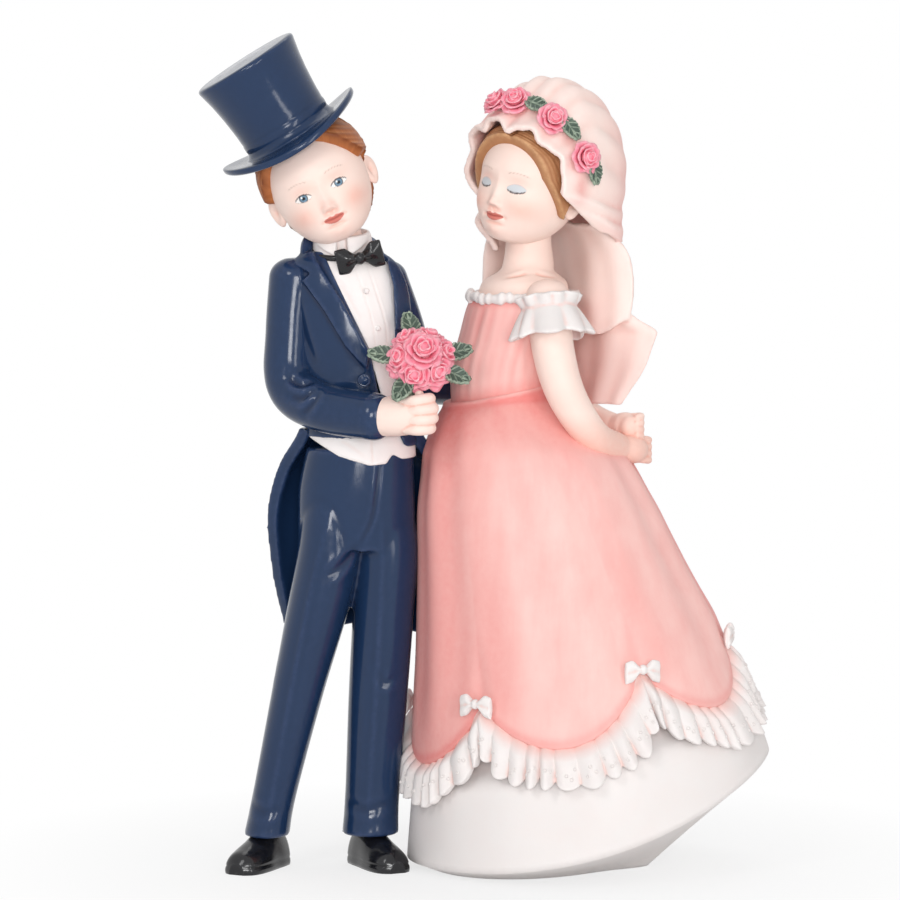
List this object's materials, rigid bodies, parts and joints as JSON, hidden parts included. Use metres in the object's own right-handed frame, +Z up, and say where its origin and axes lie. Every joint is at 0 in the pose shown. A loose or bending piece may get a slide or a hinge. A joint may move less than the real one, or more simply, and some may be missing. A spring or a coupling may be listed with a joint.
{
  "type": "wedding cake topper",
  "caption": "Resin figurine of a groom in a top hat and tailcoat holding a posy beside a bride in a tiered gown and hooded veil.",
  "frame": {"origin": "under the middle of the figurine's bounding box, on the plane it stands on", "axes": "+Z up, the couple faces -Y, and the bride stands on the +X side"},
  "size_m": [0.1018, 0.0612, 0.1482],
  "materials": {
    "navy_paint": "glossy paint on cast resin",
    "black_paint": "glossy paint on cast resin",
    "ivory_paint": "matt paint on cast resin",
    "skin_paint": "matt paint on cast resin",
    "auburn_paint": "satin paint on cast resin",
    "brown_paint": "satin paint on cast resin",
    "coral_paint": "matt colour wash on cast resin",
    "white_paint": "matt paint on cast resin",
    "veil_paint": "matt colour wash on cast resin",
    "rose_paint": "satin paint on cast resin",
    "leaf_paint": "dry-brushed paint on cast resin"
  },
  "bodies": {
    "root": {"coat_body": "navy_paint", "coat_button": "navy_paint", "trousers": "navy_paint", "right_coat_tail": "navy_paint", "left_coat_tail": "navy_paint", "right_sleeve": "navy_paint", "left_sleeve": "navy_paint", "hat_crown": "navy_paint", "hat_brim": "navy_paint", "right_shoe": "black_paint", "left_shoe": "black_paint", "bow_tie": "black_paint", "shirt_front": "ivory_paint", "shirt_collar": "ivory_paint", "waistcoat": "ivory_paint", "groom_head": "skin_paint", "groom_right_hand": "skin_paint", "groom_left_hand": "skin_paint", "bride_shoulders": "skin_paint", "bride_left_arm": "skin_paint", "bride_right_arm": "skin_paint", "bride_head": "skin_paint", "groom_hair": "auburn_paint", "bride_hair": "brown_paint", "overskirt": "coral_paint", "bodice": "coral_paint", "petticoat": "white_paint", "hem_ruffle": "white_paint", "hem_bow_1": "white_paint", "hem_bow_2": "white_paint", "hem_bow_3": "white_paint", "hem_bow_4": "white_paint", "hem_bow_5": "white_paint", "hem_bow_6": "white_paint", "left_sleeve_frill": "white_paint", "right_sleeve_frill": "white_paint", "neckline_frill": "white_paint", "veil_hood": "veil_paint", "veil_train": "veil_paint", "posy_rose_1": "rose_paint", "posy_rose_2": "rose_paint", "posy_rose_3": "rose_paint", "posy_rose_4": "rose_paint", "posy_rose_5": "rose_paint", "posy_rose_6": "rose_paint", "posy_rose_7": "rose_paint", "veil_rose_1": "rose_paint", "veil_rose_2": "rose_paint", "veil_rose_3": "rose_paint", "veil_rose_4": "rose_paint", "posy_stem": "leaf_paint", "posy_leaf_1": "leaf_paint", "posy_leaf_2": "leaf_paint", "posy_leaf_3": "leaf_paint", "posy_leaf_4": "leaf_paint", "posy_leaf_5": "leaf_paint", "veil_leaf_1": "leaf_paint", "veil_leaf_2": "leaf_paint", "veil_leaf_3": "leaf_paint"}
  },
  "joints": []
}
